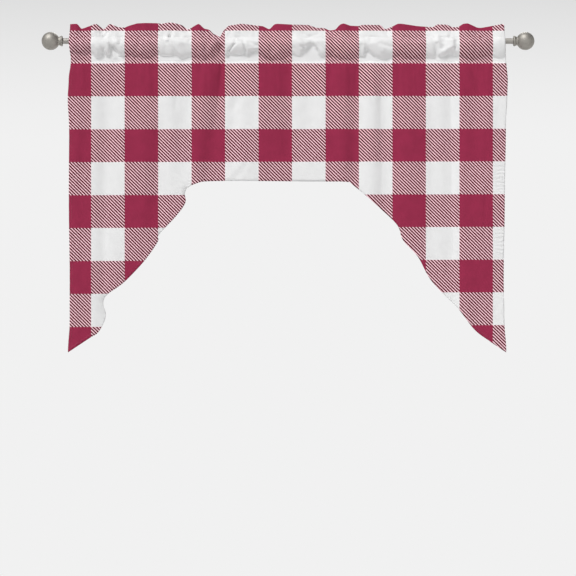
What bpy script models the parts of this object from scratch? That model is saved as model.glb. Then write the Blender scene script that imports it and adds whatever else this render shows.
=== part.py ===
"""Swag window valance on a curtain rod, in metres, with +Z up.

The origin is the middle of the rod's axis. X runs along the rod, -Y is the room side
and +Y the window side. The valance is one cloth: its top is folded to the back and
sewn down twice, which makes a ruffled header over a pocket that the rod passes through.
"""

import math

import bmesh
import bpy
from mathutils import Vector, geometry

# Driving sizes
ROD_RADIUS = 0.008
ROD_BORE_RADIUS = 0.0072
ROD_SIDES = 24
ROD_END = 0.6255
FIT_GAP = 0.0003

BALL_RADIUS = 0.025
BALL_CENTRE = 0.6593
NECK_RADIUS = 0.0122
NECK_WAIST_RADIUS = 0.0118
NECK_AT = 0.6372
COLLAR_RADIUS = 0.0148
COLLAR_EDGE_RADIUS = 0.0128
COLLAR_LENGTH = 0.0080
COLLAR_FLAT = 0.0024
COLLAR_FLAT_AT = 0.0032
PLUG_RADIUS = ROD_BORE_RADIUS - FIT_GAP
PLUG_LENGTH = 0.022
FINIAL_STEPS = 24
BALL_RINGS = 10

CLOTH_THICKNESS = 0.0012
LAYER_GAP = 0.0005
HEADER_FOLD_RADIUS = 0.0017
HEADER_LAYER_OFFSET = 0.0013
UPPER_SEAM = 0.0098
LOWER_SEAM = -0.054
BACK_HEM = -0.057
SKIRT_FORWARD = 0.0040

DROP_LOW = -0.868
COLUMNS = 76
SKIRT_ROWS = 15
CUTTER_REACH = 0.060
CUTTER_BESIDE = 0.050
CUTTER_SLOPE = 0.033
CUTTER_BELOW = 0.100

# The cloth's centre surface stays this far from the rod's axis.
AROUND_ROD = 0.0095
OVER_ROD_ANGLES = (0.0, 32.0, 62.0)
LAYER_OFFSET = (CLOTH_THICKNESS + LAYER_GAP) / 2

# How far up the header its rows lie, as shares of its height
HEADER_LIFTS = (0.0, 0.12, 0.50, 0.93)
HEADER_OPEN_BY = 0.12
TOP_FOLD_ANGLES = (140.0, 90.0, 40.0)

# The pocket's front under the rod: (z, depth when plain, share of the puffs)
UNDER_ROD = (
    (LOWER_SEAM, LAYER_OFFSET, 0.0),
    (-0.044, 0.0022, 0.20),
    (-0.032, 0.0045, 0.60),
    (-0.020, 0.0072, 1.00),
    (-0.009, 0.0090, 1.00),
)
# The pocket's back is plainer: its hem, then one row, then the rod.
BEHIND_ROD = ((BACK_HEM, LAYER_OFFSET, 0.0), (-0.020, 0.0072, 1.00))
BACK_PUFF = 0.0015
SWING_FROM = -0.020
SEAM_SWING = 0.25
HEADER_SEAM_SWING = 0.30
PUFF_OVER_ROD = 0.8

# Header, one row for each crest or dip of the ruffle: (x, height of its top edge, set back)
HEADER_FOLDS = (
    (-0.6085, 0.0475, -0.0015),
    (-0.5870, 0.0483, -0.0035),
    (-0.5730, 0.0345, 0.0020),
    (-0.5360, 0.0475, -0.0035),
    (-0.5120, 0.0328, 0.0035),
    (-0.4930, 0.0470, -0.0020),
    (-0.4670, 0.0381, 0.0030),
    (-0.4000, 0.0503, -0.0040),
    (-0.3600, 0.0475, 0.0005),
    (-0.3280, 0.0514, -0.0040),
    (-0.2790, 0.0317, 0.0050),
    (-0.2480, 0.0481, -0.0045),
    (-0.2240, 0.0330, 0.0010),
    (-0.1900, 0.0220, 0.0060),
    (-0.1650, 0.0410, -0.0010),
    (-0.1300, 0.0481, -0.0040),
    (-0.0520, 0.0342, 0.0045),
    (-0.0200, 0.0478, -0.0030),
    (0.0500, 0.0455, -0.0010),
    (0.1200, 0.0303, 0.0050),
    (0.1540, 0.0494, -0.0045),
    (0.1830, 0.0403, 0.0020),
    (0.2220, 0.0455, -0.0020),
    (0.2720, 0.0342, 0.0045),
    (0.3150, 0.0478, -0.0040),
    (0.3920, 0.0389, 0.0030),
    (0.4200, 0.0460, -0.0030),
    (0.4580, 0.0381, 0.0030),
    (0.4970, 0.0486, -0.0040),
    (0.5330, 0.0369, 0.0030),
    (0.6010, 0.0478, -0.0020),
)

# Pocket, one row for each puff or pinch of its front: (x, bulge towards the room)
POCKET_PUFFS = (
    (-0.6085, 0.0020),
    (-0.5850, 0.0045),
    (-0.5590, 0.0020),
    (-0.5380, 0.0010),
    (-0.5140, 0.0065),
    (-0.4950, 0.0015),
    (-0.4690, 0.0060),
    (-0.4300, 0.0030),
    (-0.3900, 0.0055),
    (-0.3560, 0.0015),
    (-0.3300, 0.0075),
    (-0.3030, 0.0010),
    (-0.2760, 0.0055),
    (-0.2330, 0.0060),
    (-0.1950, 0.0000),
    (-0.1640, 0.0015),
    (-0.1420, 0.0070),
    (-0.1130, 0.0015),
    (-0.0850, 0.0060),
    (-0.0450, 0.0045),
    (-0.0100, 0.0055),
    (0.0250, 0.0010),
    (0.0540, 0.0070),
    (0.0880, 0.0010),
    (0.1250, 0.0055),
    (0.1650, 0.0040),
    (0.2060, 0.0060),
    (0.2360, 0.0015),
    (0.2680, 0.0060),
    (0.3120, 0.0035),
    (0.3550, 0.0055),
    (0.4030, 0.0010),
    (0.4330, 0.0070),
    (0.4560, 0.0015),
    (0.4920, 0.0055),
    (0.5400, 0.0030),
    (0.5750, 0.0015),
    (0.6040, 0.0030),
)

# Skirt, one row for each soft ridge or, where forward is below zero, trough:
# (upper x, upper z, lower x, lower z, half width, forward)
SKIRT_FOLDS = (
    (-0.572, -0.060, -0.585, -0.330, 0.013, 0.0030),
    (-0.489, -0.060, -0.514, -0.760, 0.017, -0.0050),
    (-0.452, -0.060, -0.472, -0.640, 0.024, 0.0035),
    (-0.398, -0.060, -0.405, -0.560, 0.030, 0.0045),
    (-0.352, -0.220, -0.372, -0.520, 0.020, -0.0050),
    (-0.325, -0.060, -0.335, -0.350, 0.020, 0.0030),
    (-0.216, -0.056, -0.262, -0.400, 0.026, 0.0085),
    (-0.180, -0.056, -0.226, -0.400, 0.016, -0.0065),
    (-0.140, -0.150, -0.160, -0.250, 0.016, -0.0035),
    (-0.120, -0.060, -0.125, -0.390, 0.020, 0.0030),
    (-0.056, -0.056, -0.062, -0.330, 0.026, 0.0050),
    (-0.006, -0.056, 0.002, -0.300, 0.017, -0.0045),
    (0.055, -0.140, 0.055, -0.260, 0.024, -0.0030),
    (0.096, -0.060, 0.100, -0.300, 0.018, 0.0025),
    (0.150, -0.056, 0.144, -0.400, 0.026, 0.0060),
    (0.190, -0.060, 0.182, -0.400, 0.015, -0.0050),
    (0.232, -0.060, 0.240, -0.440, 0.020, 0.0050),
    (0.264, -0.080, 0.262, -0.460, 0.014, -0.0050),
    (0.335, -0.060, 0.330, -0.520, 0.024, 0.0035),
    (0.400, -0.200, 0.410, -0.660, 0.020, -0.0030),
    (0.450, -0.060, 0.456, -0.700, 0.015, -0.0055),
    (0.478, -0.060, 0.484, -0.720, 0.020, 0.0035),
    (0.556, -0.080, 0.530, -0.640, 0.019, 0.0035),
)

# Side edges from the top down: (z, left x, right x)
SIDE_EDGES = (
    (0.050, -0.6050, 0.6010),
    (0.003, -0.6080, 0.6030),
    (-0.058, -0.6030, 0.6055),
    (-0.108, -0.6085, 0.6095),
    (-0.160, -0.6110, 0.6080),
    (-0.247, -0.6070, 0.6040),
    (-0.440, -0.6080, 0.6010),
    (-0.660, -0.6055, 0.5980),
    (-0.775, -0.6055, 0.6000),
    (-0.864, -0.6105, 0.6055),
)

# Lower edge from the left tip over the arch to the right tip: (x, z)
LEFT_TAIL_EDGE = (
    (-0.6105, -0.8640),
    (-0.5510, -0.8245),
    (-0.5260, -0.8070),
    (-0.5070, -0.7650),
    (-0.5140, -0.7260),
    (-0.5000, -0.7020),
    (-0.4560, -0.6700),
    (-0.3990, -0.6105),
    (-0.3620, -0.5570),
    (-0.3590, -0.5380),
    (-0.3110, -0.4860),
    (-0.2860, -0.4500),
    (-0.2870, -0.4240),
    (-0.2790, -0.4080),
    (-0.2560, -0.3960),
)
ARCH_EDGE = (
    (-0.2180, -0.3890),
    (-0.0800, -0.3885),
    (0.0600, -0.3900),
    (0.1620, -0.3912),
)
RIGHT_TAIL_EDGE = (
    (0.1810, -0.4000),
    (0.2380, -0.4480),
    (0.3020, -0.5090),
    (0.3200, -0.5530),
    (0.3610, -0.5990),
    (0.3900, -0.6530),
    (0.4200, -0.6900),
    (0.4720, -0.7420),
    (0.5180, -0.8010),
    (0.5600, -0.8330),
    (0.6055, -0.8640),
)


def clear_scene():
    for obj in list(bpy.data.objects):
        bpy.data.objects.remove(obj, do_unlink=True)


def make_material(name, colour, roughness, metallic):
    material = bpy.data.materials.new(name)
    material.use_nodes = True
    shader = material.node_tree.nodes["Principled BSDF"]
    shader.inputs["Base Color"].default_value = (*colour, 1.0)
    shader.inputs["Roughness"].default_value = roughness
    shader.inputs["Metallic"].default_value = metallic
    return material


def add_object(name, mesh, collection, material):
    obj = bpy.data.objects.new(name, mesh)
    obj.data.materials.append(material)
    collection.objects.link(obj)
    return obj


def eased(share):
    share = min(max(share, 0.0), 1.0)
    return share * share * (3.0 - 2.0 * share)


def eased_row(table, at):
    """The values of the table at this place, each level at its rows and eased between them."""
    rows = sorted(table)
    if at <= rows[0][0]:
        return rows[0][1:]
    for low, high in zip(rows, rows[1:]):
        if at <= high[0]:
            share = eased((at - low[0]) / (high[0] - low[0]))
            return tuple(a + (b - a) * share for a, b in zip(low[1:], high[1:]))
    return rows[-1][1:]


def smooth_route(points, steps_per_span=12):
    """Points of a smooth curve through the given ones."""
    knots = [Vector((x, 0.0, z)) for x, z in points]
    route = [knots[0]]
    for index in range(len(knots) - 1):
        start = knots[index]
        end = knots[index + 1]
        before = knots[max(index - 1, 0)]
        after = knots[min(index + 2, len(knots) - 1)]
        leaving = start + (end - before) / 6.0
        arriving = end - (after - start) / 6.0
        span = geometry.interpolate_bezier(start, leaving, arriving, end, steps_per_span)
        route.extend(span[1:])
    return route


def side_x(share, z):
    """Where a column this share of the way across stands between the side edges."""
    left, right = eased_row(SIDE_EDGES, z)
    return left + (right - left) * share


def skirt_forward(x, z):
    """How far the skirt's soft folds stand towards the room."""
    forward = SKIRT_FORWARD * eased((LOWER_SEAM - z) / 0.030)
    for upper_x, upper_z, lower_x, lower_z, half_width, height in SKIRT_FOLDS:
        down = (upper_z - z) / (upper_z - lower_z)
        line_x = upper_x + (lower_x - upper_x) * down
        widened = half_width * (1.0 + 0.5 * min(max(down, 0.0), 1.3))
        fade = eased((down + 0.15) / 0.30) * eased((1.35 - down) / 0.50)
        forward += height * fade * math.exp(-(((x - line_x) / widened) ** 2))
    return forward * eased((LOWER_SEAM - z) / 0.020)


def seam_wave(x):
    """The slight swing of the sewn line under the pocket."""
    return SEAM_SWING * eased_row(HEADER_FOLDS, x)[1]


def skirt_points():
    """Rows of the uncut skirt, from its foot up to just under the pocket's seam."""
    rows = []
    for step in range(SKIRT_ROWS):
        z = DROP_LOW + (LOWER_SEAM - DROP_LOW) * step / SKIRT_ROWS
        row = []
        for column in range(COLUMNS + 1):
            x = side_x(column / COLUMNS, z)
            row.append(Vector((x, seam_wave(x) - LAYER_OFFSET - skirt_forward(x, z), z)))
        rows.append(row)
    return rows


def pocket_points(side):
    """Rows of one pocket layer, from the lower seam up to the upper one. Side -1 is the front."""
    sections = list(UNDER_ROD if side < 0 else BEHIND_ROD)
    for angle in OVER_ROD_ANGLES:
        turned = math.radians(angle)
        depth = AROUND_ROD * math.cos(turned)
        sections.append((AROUND_ROD * math.sin(turned), depth, PUFF_OVER_ROD * math.cos(turned)))
    rows = []
    for z, depth, puff_share in sections:
        row = []
        for column in range(COLUMNS + 1):
            x = side_x(column / COLUMNS, z)
            puff = eased_row(POCKET_PUFFS, x)[0] if side < 0 else BACK_PUFF
            swing = seam_wave(x) * eased((SWING_FROM - z) / (SWING_FROM - LOWER_SEAM))
            row.append(Vector((x, swing + side * (depth + puff * puff_share), z)))
        rows.append(row)
    return rows


def header_points(side):
    """Rows of one header layer, from the upper seam up to the top fold."""
    rows = []
    for lift in HEADER_LIFTS:
        row = []
        for column in range(COLUMNS + 1):
            share = column / COLUMNS
            top = eased_row(HEADER_FOLDS, side_x(share, UPPER_SEAM))[0] - HEADER_FOLD_RADIUS
            z = UPPER_SEAM + (top - UPPER_SEAM) * lift
            opened = eased(lift / HEADER_OPEN_BY)
            offset = LAYER_OFFSET + (HEADER_LAYER_OFFSET - LAYER_OFFSET) * opened
            row.append(header_place(share, z, lift, side * offset))
        rows.append(row)
    return rows


def header_place(share, z, lift, offset):
    """A point this far off the ruffle's centre line, square to it."""
    gain = HEADER_SEAM_SWING + (1.0 - HEADER_SEAM_SWING) * eased(lift)
    x = side_x(share, z)
    reach = 0.002
    y = gain * eased_row(HEADER_FOLDS, x)[1]
    ahead = gain * eased_row(HEADER_FOLDS, x + reach)[1]
    behind = gain * eased_row(HEADER_FOLDS, x - reach)[1]
    turned = math.atan2(ahead - behind, 2.0 * reach)
    return Vector((x - offset * math.sin(turned), y + offset * math.cos(turned), z))


def top_fold_points():
    """Rows round the top of the header, where the cloth turns to the back."""
    rows = []
    for angle in TOP_FOLD_ANGLES:
        turned = math.radians(angle)
        row = []
        for column in range(COLUMNS + 1):
            share = column / COLUMNS
            top = eased_row(HEADER_FOLDS, side_x(share, UPPER_SEAM))[0]
            z = top - HEADER_FOLD_RADIUS + HEADER_FOLD_RADIUS * math.sin(turned)
            row.append(header_place(share, z, 1.0, HEADER_FOLD_RADIUS * math.cos(turned)))
        rows.append(row)
    return rows


def build_arch_cutter(cutters):
    """A slab of the shape that is cut out of the cloth, under the arch and between the tails."""
    route = smooth_route(LEFT_TAIL_EDGE + ARCH_EDGE + RIGHT_TAIL_EDGE)
    left = route[0].x - CUTTER_BESIDE
    right = route[-1].x + CUTTER_BESIDE
    sloped = route[0].z - CUTTER_SLOPE
    low = route[0].z - CUTTER_BELOW
    outline = [Vector((left, 0.0, low)), Vector((left, 0.0, sloped)), *route]
    outline += [Vector((right, 0.0, sloped)), Vector((right, 0.0, low))]
    slab = bmesh.new()
    corners = [slab.verts.new(point - Vector((0.0, CUTTER_REACH, 0.0))) for point in outline]
    front = slab.faces.new(corners)
    pulled = bmesh.ops.extrude_face_region(slab, geom=[front])
    moved = [item for item in pulled["geom"] if isinstance(item, bmesh.types.BMVert)]
    bmesh.ops.translate(slab, verts=moved, vec=(0.0, 2.0 * CUTTER_REACH, 0.0))
    bmesh.ops.recalc_face_normals(slab, faces=slab.faces)
    mesh = bpy.data.meshes.new("arch cutter")
    slab.to_mesh(mesh)
    slab.free()
    cutter = bpy.data.objects.new("arch cutter", mesh)
    cutter.hide_render = True
    cutter.display_type = "WIRE"
    cutters.objects.link(cutter)
    return cutter


def build_valance(collection, cutter):
    rows = skirt_points() + pocket_points(-1) + header_points(-1) + top_fold_points()
    rows += reversed(header_points(1))
    rows += reversed(pocket_points(1))
    last = len(rows) - 1
    sheet = bmesh.new()
    bmesh.ops.create_grid(sheet, x_segments=COLUMNS, y_segments=last, size=0.5)
    for vert in sheet.verts:
        column = round((vert.co.x + 0.5) * COLUMNS)
        row = round((vert.co.y + 0.5) * last)
        vert.co = rows[row][column]
    bmesh.ops.triangulate(sheet, faces=sheet.faces)
    mesh = bpy.data.meshes.new("valance")
    sheet.to_mesh(mesh)
    sheet.free()
    cloth = make_material("printed cloth", (0.48, 0.26, 0.30), 0.9, 0.0)
    valance = add_object("valance", mesh, collection, cloth)
    mesh.shade_smooth()
    thickness = valance.modifiers.new("cloth thickness", "SOLIDIFY")
    thickness.thickness = CLOTH_THICKNESS
    thickness.offset = 0.0
    scoop = valance.modifiers.new("scooped lower edge", "BOOLEAN")
    scoop.operation = "DIFFERENCE"
    scoop.object = cutter


def build_rod(collection, metal):
    """A plain tube, turned so that one of its flats faces straight down."""
    profile = bmesh.new()
    outer_left = profile.verts.new((-ROD_END, 0.0, ROD_RADIUS))
    outer_right = profile.verts.new((ROD_END, 0.0, ROD_RADIUS))
    inner_right = profile.verts.new((ROD_END, 0.0, ROD_BORE_RADIUS))
    inner_left = profile.verts.new((-ROD_END, 0.0, ROD_BORE_RADIUS))
    profile.edges.new((outer_right, outer_left))
    profile.edges.new((outer_left, inner_left))
    profile.edges.new((inner_left, inner_right))
    profile.edges.new((inner_right, outer_right))
    half_side = math.pi / ROD_SIDES
    turn_profile(profile, half_side)
    turned_object("rod", profile, ROD_SIDES, collection, metal)


def turn_profile(profile, angle):
    """Starts the turned shape this far round the X axis."""
    for vert in profile.verts:
        radius = vert.co.z
        vert.co.y = radius * math.sin(angle)
        vert.co.z = radius * math.cos(angle)


def turned_object(name, profile, steps, collection, metal):
    mesh = bpy.data.meshes.new(name)
    profile.to_mesh(mesh)
    profile.free()
    obj = add_object(name, mesh, collection, metal)
    turning = obj.modifiers.new("turned about the rod axis", "SCREW")
    turning.axis = "X"
    turning.steps = steps
    turning.render_steps = steps
    turning.use_merge_vertices = True
    turning.merge_threshold = 0.00001
    turning.use_smooth_shade = True
    return obj


def finial_outline():
    """(distance along the rod, radius), from the ball's end back to the plug's."""
    outline = []
    neck_angle = math.asin(NECK_RADIUS / BALL_RADIUS)
    for ring in range(BALL_RINGS + 1):
        turned = (math.pi - neck_angle) * ring / BALL_RINGS
        along = BALL_CENTRE + BALL_RADIUS * math.cos(turned)
        outline.append((along, BALL_RADIUS * math.sin(turned)))
    collar_start = ROD_END + FIT_GAP
    collar_middle = collar_start + COLLAR_FLAT_AT
    collar_end = collar_start + COLLAR_LENGTH
    outline.append(((collar_end + NECK_AT) / 2, NECK_WAIST_RADIUS))
    outline.append((collar_end, COLLAR_EDGE_RADIUS))
    outline.append((collar_middle + COLLAR_FLAT / 2, COLLAR_RADIUS))
    outline.append((collar_middle - COLLAR_FLAT / 2, COLLAR_RADIUS))
    outline.append((collar_start, COLLAR_EDGE_RADIUS))
    outline.append((collar_start, PLUG_RADIUS))
    outline.append((collar_start - PLUG_LENGTH, PLUG_RADIUS))
    outline.append((collar_start - PLUG_LENGTH, 0.0))
    return outline


def build_finial(name, side, collection, metal):
    profile = bmesh.new()
    outline = finial_outline()
    if side < 0:
        outline.reverse()
    previous = None
    for along, radius in outline:
        vert = profile.verts.new((side * along, 0.0, radius))
        if previous is not None:
            profile.edges.new((previous, vert))
        previous = vert
    turned_object(name, profile, FINIAL_STEPS, collection, metal)


def main():
    clear_scene()
    collection = bpy.data.collections.new("window valance on curtain rod")
    bpy.context.scene.collection.children.link(collection)
    cutters = bpy.data.collections.new("cutters")
    bpy.context.scene.collection.children.link(cutters)
    build_valance(collection, build_arch_cutter(cutters))
    nickel = make_material("brushed nickel", (0.42, 0.40, 0.37), 0.35, 1.0)
    build_rod(collection, nickel)
    build_finial("finial_left", -1, collection, nickel)
    build_finial("finial_right", 1, collection, nickel)


main()
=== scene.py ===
# %% [markdown]
# # A swag valance on its curtain rod
# A kitchen valance is one flat panel of printed cloth. Its top is folded to the back and
# sewn down twice: the upper seam leaves a ruffled header, and the two seams together make
# the pocket that the rod slides through. The lower edge is scooped out, so two pointed
# tails hang beside the window. Sizes are in metres, but for the tables of folds, which are
# easier to read in millimetres. The middle of the rod's axis is the origin, -Y is the room
# and +Z is up.

# %% Load the frame
import math

import bmesh
import bpy
import numpy as np
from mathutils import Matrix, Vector, noise


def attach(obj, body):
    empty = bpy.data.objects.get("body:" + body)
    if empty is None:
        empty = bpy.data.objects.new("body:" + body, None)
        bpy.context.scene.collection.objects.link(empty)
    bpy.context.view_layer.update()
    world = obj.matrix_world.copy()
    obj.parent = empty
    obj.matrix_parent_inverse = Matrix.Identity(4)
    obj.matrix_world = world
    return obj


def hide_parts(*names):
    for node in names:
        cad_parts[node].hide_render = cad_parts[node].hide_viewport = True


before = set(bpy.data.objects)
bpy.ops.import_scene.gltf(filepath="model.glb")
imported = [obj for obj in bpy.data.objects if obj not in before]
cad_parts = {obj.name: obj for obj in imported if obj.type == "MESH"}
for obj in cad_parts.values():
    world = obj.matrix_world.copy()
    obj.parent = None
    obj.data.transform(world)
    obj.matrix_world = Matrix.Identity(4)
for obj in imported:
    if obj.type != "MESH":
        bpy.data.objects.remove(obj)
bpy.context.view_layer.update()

print("solids in the frame:", sorted(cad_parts))

# %% [markdown]
# ## Sizes of the rod and of the cloth's make-up
# The rod's and finials' sizes come first, because the cloth is gathered over the rod. The
# cloth itself is very thin, and its two layers are sewn together along the two seams. The
# numbers repeat the solids' own sizes, so that every surface here lies on its solid.

# %% Driving sizes
ROD_RADIUS = 0.008
ROD_WALL = 0.0008
ROD_END = 0.6255
BALL_RADIUS = 0.025
BALL_CENTRE = 0.6593
NECK_RADIUS = 0.0122
NECK_WAIST_RADIUS = 0.0118
NECK_AT = 0.6372
COLLAR_RADIUS = 0.0148
COLLAR_LENGTH = 0.0080
PLUG_RADIUS = 0.0069
PLUG_LENGTH = 0.022

CLOTH_THICKNESS = 0.0009
LAYER_OFFSET = 0.0008
HEADER_LAYER_OFFSET = 0.0013
HEADER_FOLD_RADIUS = 0.0017
HEADER_TOP = 0.0500
UPPER_SEAM = 0.0098
LOWER_SEAM = -0.054
BACK_HEM = -0.057
FOOT = -0.868
AROUND_ROD = 0.0088
print("drop from header to tips:", round(HEADER_TOP - FOOT, 3), "m")

# %% [markdown]
# ## Tables of folds
# Folds in real cloth are uneven, so they are placed one by one: one row for each ruffle of the
# header, each lobe of the pocket and each soft ridge or trough of the skirt. Rows in
# millimetres are easy to read and change, and a function that eases from row to row turns
# them into a surface. A noise texture would give folds too, but not these ones in these
# places.


# %% Header and side tables
def millimetres(*rows):
    """A table that is written in millimetres, in metres."""
    return tuple(tuple(0.001 * number for number in row) for row in rows)


# One row for each crest or dip of the ruffle: (x, set back)
RUFFLE = millimetres(
    (-608, -1.5), (-587, -3.5), (-573, 2), (-536, -3.5), (-512, 3.5), (-493, -2), (-467, 3), (-400, -4),
    (-360, 0.5), (-328, -4), (-279, 5), (-248, -4.5), (-224, 1), (-190, 6), (-165, -1), (-130, -4),
    (-52, 4.5), (-20, -3), (50, -1), (120, 5), (154, -4.5), (183, 2), (222, -2), (272, 4.5), (315, -4),
    (392, 3), (420, -3), (458, 3), (497, -4), (533, 3), (601, -2),
)
# The header's top edge, with its notches: (x, z)
TOP_EDGE = millimetres(
    (-605, 47), (-586, 48), (-582, 43), (-575, 34), (-562, 38), (-542, 45), (-535, 48), (-531, 47),
    (-519, 37), (-512, 33), (-506, 37), (-498, 47), (-492, 47), (-473, 39), (-453, 38), (-445, 42),
    (-420, 49), (-394, 50), (-365, 50), (-351, 48), (-334, 51), (-322, 51), (-302, 47), (-294, 44),
    (-279, 32), (-267, 38), (-249, 48), (-243, 44), (-234, 35), (-219, 32), (-206, 19), (-198, 18),
    (-190, 10), (-180, 28), (-165, 43), (-142, 46), (-131, 48), (-102, 45), (-70, 42), (-54, 34),
    (-50, 34), (-38, 47), (-30, 48), (8, 46), (56, 45), (80, 37), (100, 37), (115, 30), (132, 32),
    (145, 46), (154, 49), (173, 43), (197, 42), (205, 45), (258, 45), (267, 35), (273, 34), (289, 40),
    (305, 48), (315, 48), (358, 42), (404, 39), (414, 46), (442, 46), (457, 39), (473, 39), (487, 48),
    (500, 49), (526, 38), (535, 37), (567, 42), (598, 48), (603, 42),
)
# Side edges from the top down: (z, left x, right x)
SIDE_EDGES = millimetres(
    (50, -605, 601), (3, -608, 603), (-58, -603, 605.5), (-108, -608.5, 609.5), (-160, -611, 608),
    (-247, -607, 604), (-440, -608, 601), (-660, -605.5, 598), (-775, -605.5, 600),
    (-864, -610.5, 605.5),
)
print("ruffles in the header:", len(RUFFLE) // 2)

# %% Pocket table
# The pocket's front hangs over the rod in lobes. One row for each low or high point of
# their lower edge: (x, height of the lobe's edge, bulge towards the room)
POCKET_LOBES = millimetres(
    (-611, -30, 3), (-600, -34, 4), (-583, -30, 5), (-567, -37, 5.5), (-556, -30, 5), (-549, -25, 5),
    (-542, -36, 6.5), (-530, -48, 8), (-521, -40, 7.5), (-514, -26, 5.5), (-510, -33, 7),
    (-501, -44, 8.5), (-496, -36, 8), (-492, -15, 5), (-485, -19, 5.5), (-475, -30, 6.5),
    (-465, -44, 7), (-456, -39, 6.5), (-439, -36, 6), (-422, -41, 7), (-406, -44, 8), (-389, -44, 7.5),
    (-372, -33, 6), (-361, -30, 6), (-353, -40, 7), (-346, -41, 7.5), (-338, -42, 6.5), (-330, -42, 6),
    (-322, -40, 6), (-313, -34, 6), (-305, -42, 6.8), (-294, -50, 7.2), (-283, -46, 7.5),
    (-272, -43, 7), (-256, -43, 7), (-236, -46, 7.5), (-220, -40, 7), (-206, -25, 6), (-192, -9, 3),
    (-183, -16, 4), (-176, -39, 4), (-171, -47, 5), (-164, -37, 7), (-144, -36, 9), (-126, -36, 8),
    (-120, -28, 7), (-114, -43, 7.5), (-106, -33, 6), (-96, -26, 6), (-83, -30, 6.5), (-72, -39, 7),
    (-56, -47, 8.5), (-39, -48, 8.5), (-22, -47, 8), (-6, -39, 7), (11, -36, 4.8), (22, -41, 5.1),
    (33, -44, 5.1), (42, -30, 4.6), (50, -19, 4), (58, -9, 4), (65, -2, 2.6), (72, -11, 4),
    (81, -25, 5.3), (88, -40, 5.3), (96, -44, 5.3), (104, -39, 6.2), (117, -37, 7), (136, -44, 8),
    (158, -47, 8.5), (178, -46, 8), (194, -41, 7), (208, -48, 5.7), (215, -30, 4.8), (220, -28, 5.3),
    (233, -39, 6.6), (244, -46, 5.8), (260, -50, 6.2), (275, -48, 5.8), (286, -43, 6.6),
    (300, -39, 6.5), (322, -43, 7.5), (344, -46, 8.5), (361, -44, 8), (378, -41, 7), (386, -44, 6.2),
    (397, -46, 6.6), (409, -49, 7.5), (417, -44, 5.8), (422, -42, 5.2), (436, -41, 5), (442, -35, 4.6),
    (449, -28, 4.2), (456, -35, 4.8), (464, -41, 5.4), (474, -40, 6.2), (489, -43, 8), (508, -46, 8.5),
    (528, -44, 8), (550, -39, 6.5), (564, -37, 6), (572, -44, 6.5), (583, -49, 6.5), (594, -44, 5.5),
    (604, -36, 3.5),
)
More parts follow.
